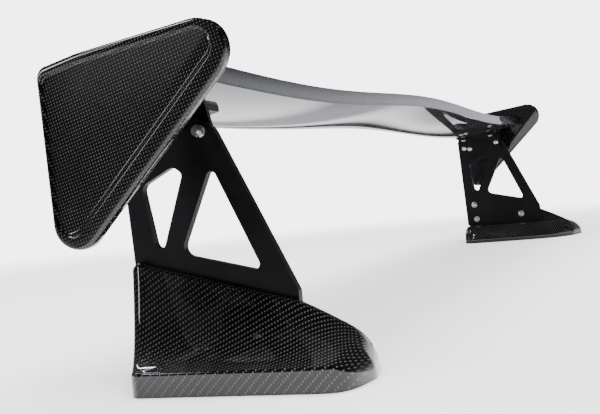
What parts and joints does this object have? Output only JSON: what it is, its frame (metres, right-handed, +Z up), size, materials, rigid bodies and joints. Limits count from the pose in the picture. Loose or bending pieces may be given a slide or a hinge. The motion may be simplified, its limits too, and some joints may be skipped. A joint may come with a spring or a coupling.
{
  "type": "racing rear wing",
  "caption": "Trunk-mounted racing rear wing: wavy carbon blade with end plates on two plate uprights and moulded pedestals, blade tilt adjustable",
  "frame": {"origin": "midway between the two pedestals on the plane of their undersides, at the middle of the wing's depth", "axes": "+X to the car's right along the blade, +Y forward, +Z up from the trunk lid"},
  "size_m": [1.556, 0.2533, 0.2962],
  "materials": {
    "carbon_gloss": "woven carbon fibre under clear gloss lacquer",
    "anodised_black": "satin black anodised",
    "plain_aluminium": "plain machined",
    "fastener_steel": "bright zinc plated"
  },
  "bodies": {
    "stand": {"upright_left": "anodised_black", "upright_right": "anodised_black", "upright_bolts_left": "fastener_steel", "upright_bolts_right": "fastener_steel", "upright_washers_left": "fastener_steel", "upright_washers_right": "fastener_steel", "upright_nuts_left": "fastener_steel", "upright_nuts_right": "fastener_steel", "pedestal_left": "carbon_gloss", "pedestal_right": "carbon_gloss", "angle_left": "plain_aluminium", "angle_right": "plain_aluminium", "foot_plate_left": "plain_aluminium", "foot_plate_right": "plain_aluminium", "angle_screws_left": "fastener_steel", "angle_screws_right": "fastener_steel"},
    "wing": {"blade_skin_upper": "carbon_gloss", "blade_skin_lower": "carbon_gloss", "trailing_edge_lip": "carbon_gloss", "front_spar": "plain_aluminium", "rear_spar": "plain_aluminium", "centre_rib": "plain_aluminium", "mid_rib_left": "plain_aluminium", "mid_rib_right": "plain_aluminium", "tip_rib_left": "plain_aluminium", "tip_rib_right": "plain_aluminium", "hardpoint_left": "plain_aluminium", "hardpoint_right": "plain_aluminium", "end_plate_left": "carbon_gloss", "end_plate_right": "carbon_gloss", "end_plate_back_left": "carbon_gloss", "end_plate_back_right": "carbon_gloss", "bracket_left": "anodised_black", "bracket_right": "anodised_black", "flange_screws_left": "fastener_steel", "flange_screws_right": "fastener_steel", "pivot_bolt_left": "fastener_steel", "pivot_bolt_right": "fastener_steel", "pivot_washer_left": "fastener_steel", "pivot_washer_right": "fastener_steel", "pivot_nut_left": "fastener_steel", "pivot_nut_right": "fastener_steel", "clamp_bolts_left": "fastener_steel", "clamp_bolts_right": "fastener_steel", "clamp_washers_left": "fastener_steel", "clamp_washers_right": "fastener_steel", "clamp_nuts_left": "fastener_steel", "clamp_nuts_right": "fastener_steel"}
  },
  "joints": [
    {"name": "blade_tilt", "type": "hinge", "parent": "stand", "child": "wing", "pos_m": [0, 0.0305, 0.216], "axis": [1, 0, 0], "range_deg": [-4, 4]}
  ]
}
